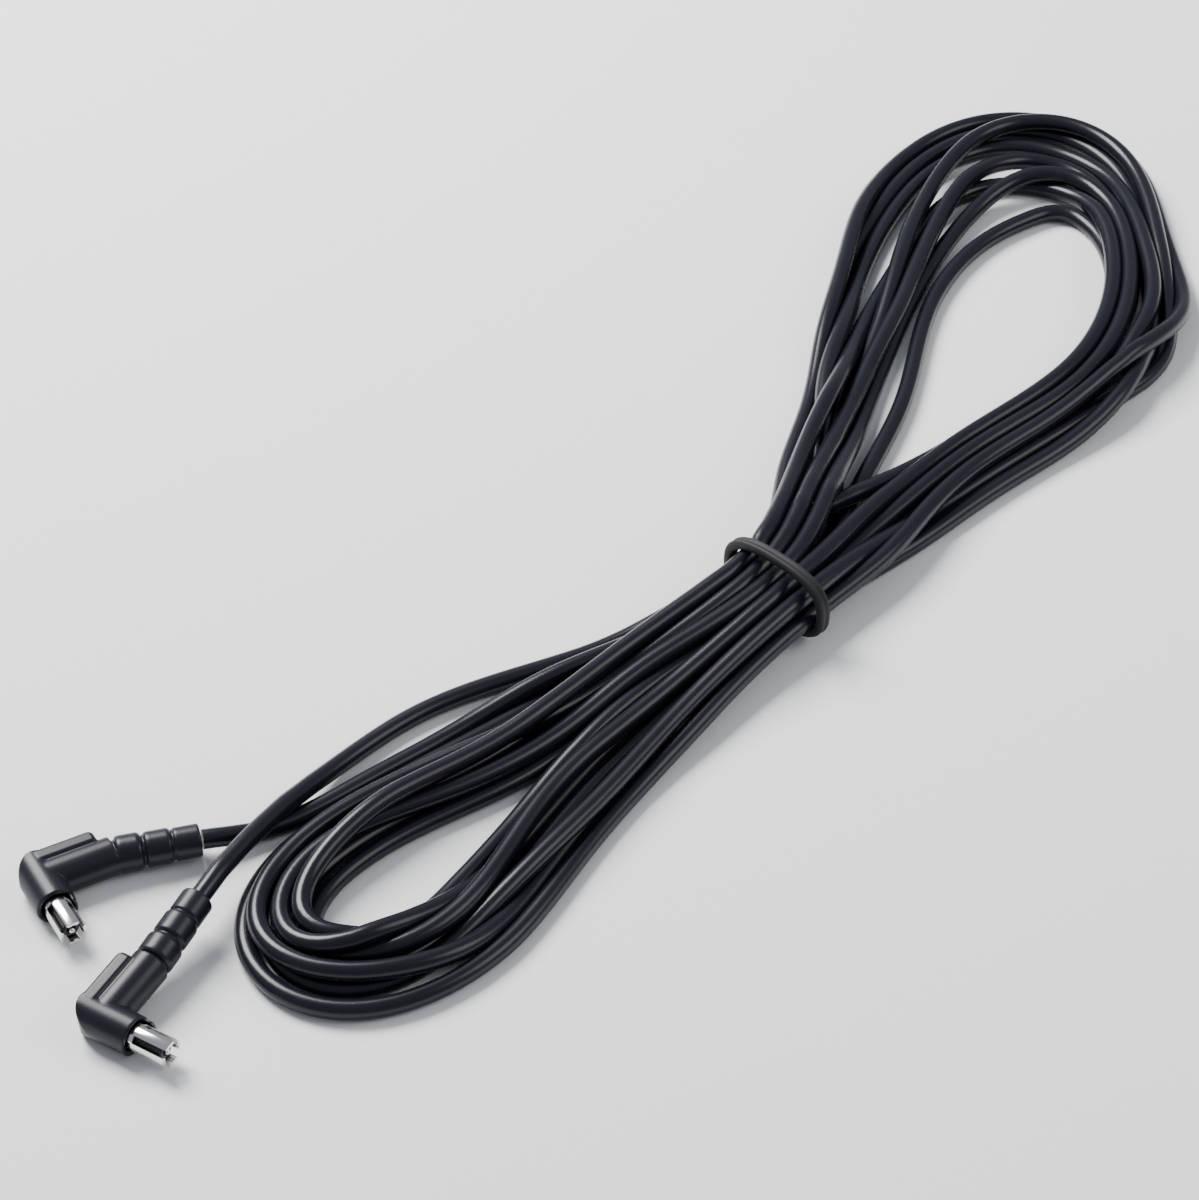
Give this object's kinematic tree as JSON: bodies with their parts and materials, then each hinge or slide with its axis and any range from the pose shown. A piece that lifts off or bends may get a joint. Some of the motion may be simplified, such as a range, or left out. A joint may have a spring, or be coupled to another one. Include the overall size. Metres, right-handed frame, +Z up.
{
  "type": "flash sync cable",
  "caption": "Thin round cord folded into a hank of two open loops held by a rubber tie, with a moulded right-angle coaxial sync plug on each end.",
  "frame": {"origin": "bottom centre of the bounding box of the cable as it lies on a level floor", "axes": "+Z up; +Y from the lower loop and the plugs towards the far end of the upper loop; +X to the right of that, in plan"},
  "size_m": [0.2088, 0.2658, 0.0148],
  "materials": {
    "cord_jacket": "satin black flexible PVC",
    "plug_moulding": "satin black moulded PVC",
    "tie_rubber": "matte dark grey rubber",
    "nickel_plate": "bright nickel plate",
    "insulator": "matte black moulded insulator"
  },
  "bodies": {
    "root": {"cable_hank": "cord_jacket", "lead_upper": "cord_jacket", "lead_lower": "cord_jacket", "inner_turn": "cord_jacket", "hank_tie": "tie_rubber", "plug_body_upper": "plug_moulding", "spring_sleeve_upper": "nickel_plate", "centre_pin_upper": "nickel_plate", "pin_insulator_upper": "insulator", "plug_body_lower": "plug_moulding", "spring_sleeve_lower": "nickel_plate", "centre_pin_lower": "nickel_plate", "pin_insulator_lower": "insulator"}
  },
  "joints": []
}
